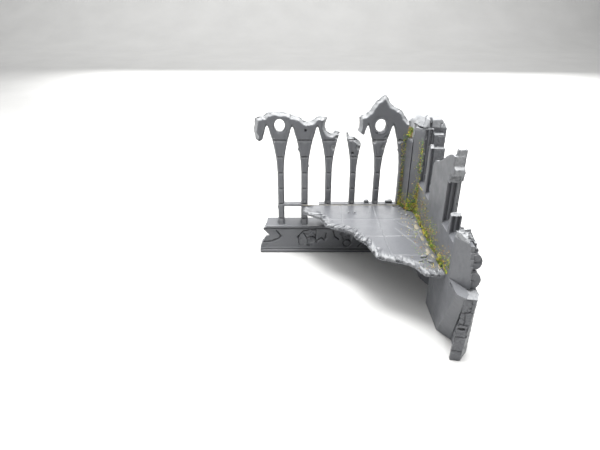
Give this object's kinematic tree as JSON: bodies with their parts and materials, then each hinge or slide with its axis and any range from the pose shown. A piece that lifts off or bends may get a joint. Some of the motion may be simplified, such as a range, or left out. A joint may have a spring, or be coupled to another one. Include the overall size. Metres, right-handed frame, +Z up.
{
  "type": "miniature terrain ruin",
  "caption": "Corner of a ruined gothic building for tabletop games: pierced window wall, broken side wall, jagged gallery floor and corner buttress.",
  "frame": {"origin": "on the table, under the point where the inner faces of the two walls would meet, on the underside of the corner buttress", "axes": "+Z up; the window wall runs along -X with its inner face on Y = 0; the side wall runs along -Y with its inner face on X = 0"},
  "size_m": [0.1642, 0.1728, 0.1512],
  "materials": {
    "grey_plastic": "satin, unpainted injection moulded polystyrene",
    "grass_flock": "loose static grass fibre in yellow, green and brown",
    "dried_glue": "semi-gloss dried craft glue"
  },
  "bodies": {
    "root": {"window_wall_panel": "grey_plastic", "corner_post_left": "grey_plastic", "corner_post_right": "grey_plastic", "corner_buttress": "grey_plastic", "side_wall_window_panel": "grey_plastic", "side_wall_base_panel": "grey_plastic", "side_wall_inner_board": "grey_plastic", "end_pier": "grey_plastic", "buttress_stones": "grey_plastic", "gallery_floor": "grey_plastic", "loose_stones": "grey_plastic", "grass_tufts": "grass_flock", "glue_beads": "dried_glue"}
  },
  "joints": []
}
